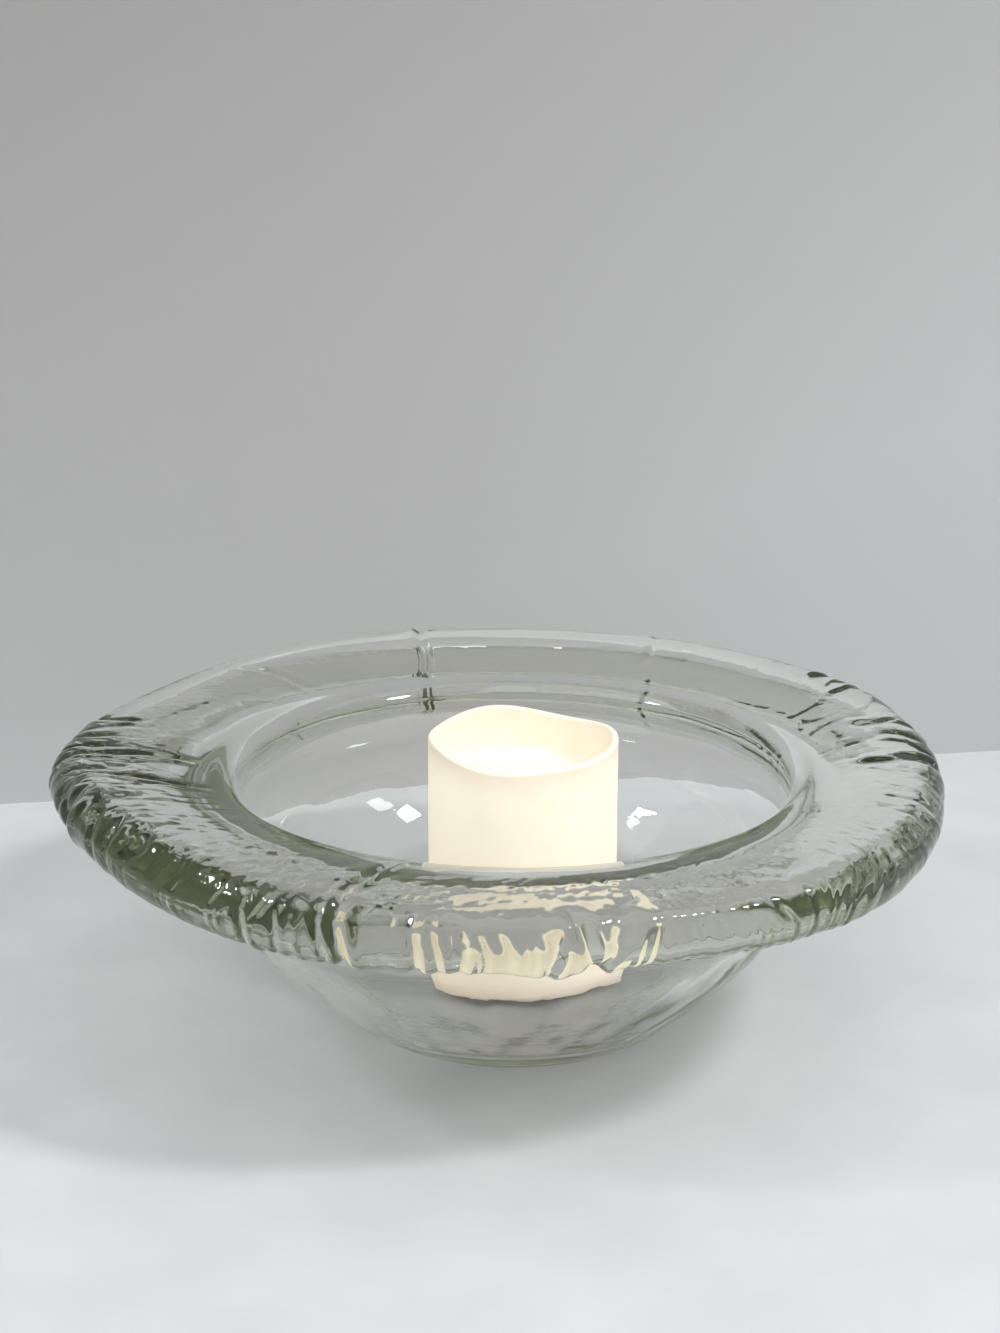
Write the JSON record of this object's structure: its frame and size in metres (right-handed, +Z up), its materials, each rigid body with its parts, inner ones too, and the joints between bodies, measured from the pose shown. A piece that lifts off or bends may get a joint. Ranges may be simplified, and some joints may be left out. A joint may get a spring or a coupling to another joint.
{
  "type": "candle bowl",
  "caption": "Heavy clear glass bowl with a broad rolled rim, holding a lit battery pillar candle that lifts out, with a twist-off battery door and a slide switch below.",
  "frame": {"origin": "on the surface that the bowl stands on, under the middle of its rim", "axes": "+Z up, +X to the right and -Y towards the viewer in the picture"},
  "size_m": [0.3494, 0.3486, 0.1155],
  "materials": {
    "clear_glass": "clear, heavy, with a faint grey-green depth",
    "wax": "ivory paraffin wax, soft sheen",
    "white_plastic": "satin",
    "base_plastic": "satin ivory",
    "foot_rubber": "matte",
    "screw_steel": "zinc plated",
    "contact_nickel": "nickel plated",
    "cell_jacket": "gloss jacket",
    "board_green": "solder mask",
    "black_plastic": "moulded",
    "capacitor_can": "bare can",
    "resistor_body": "lacquered",
    "lamp_warm": "lit, warm white",
    "red_wire": "insulation",
    "black_wire": "insulation"
  },
  "bodies": {
    "bowl": {"glass_bowl": "clear_glass"},
    "candle": {"wax_shell": "wax", "core_housing": "white_plastic", "core_cap": "white_plastic", "lamp_holder": "white_plastic", "switch_body": "white_plastic", "base_plate": "base_plastic", "rubber_feet": "foot_rubber", "base_screws": "screw_steel", "board_screws": "screw_steel", "bay_spring": "contact_nickel", "negative_contact": "contact_nickel", "positive_contact": "contact_nickel", "lamp_legs": "contact_nickel", "left_battery": "cell_jacket", "right_battery": "cell_jacket", "control_board": "board_green", "control_chip": "black_plastic", "board_capacitor": "capacitor_can", "board_resistor": "resistor_body", "lamp_bulb": "lamp_warm", "red_wire": "red_wire", "black_wire": "black_wire", "switch_wires": "black_wire"},
    "battery_door": {"battery_door": "base_plastic", "door_contact": "contact_nickel", "door_spring": "contact_nickel"},
    "switch_knob": {"switch_knob": "black_plastic"}
  },
  "joints": [
    {"name": "candle_lift", "type": "slide", "parent": "bowl", "child": "candle", "axis": [0, 0, 1], "range_m": [0, 0.12]},
    {"name": "door_twist", "type": "hinge", "parent": "candle", "child": "battery_door", "pos_m": [0.0104, 0, 0.0115], "axis": [0, 0, 1], "range_deg": [0, 40]},
    {"name": "switch_slide", "type": "slide", "parent": "candle", "child": "switch_knob", "axis": [1, 0, 0], "range_m": [0, 0.004]}
  ]
}
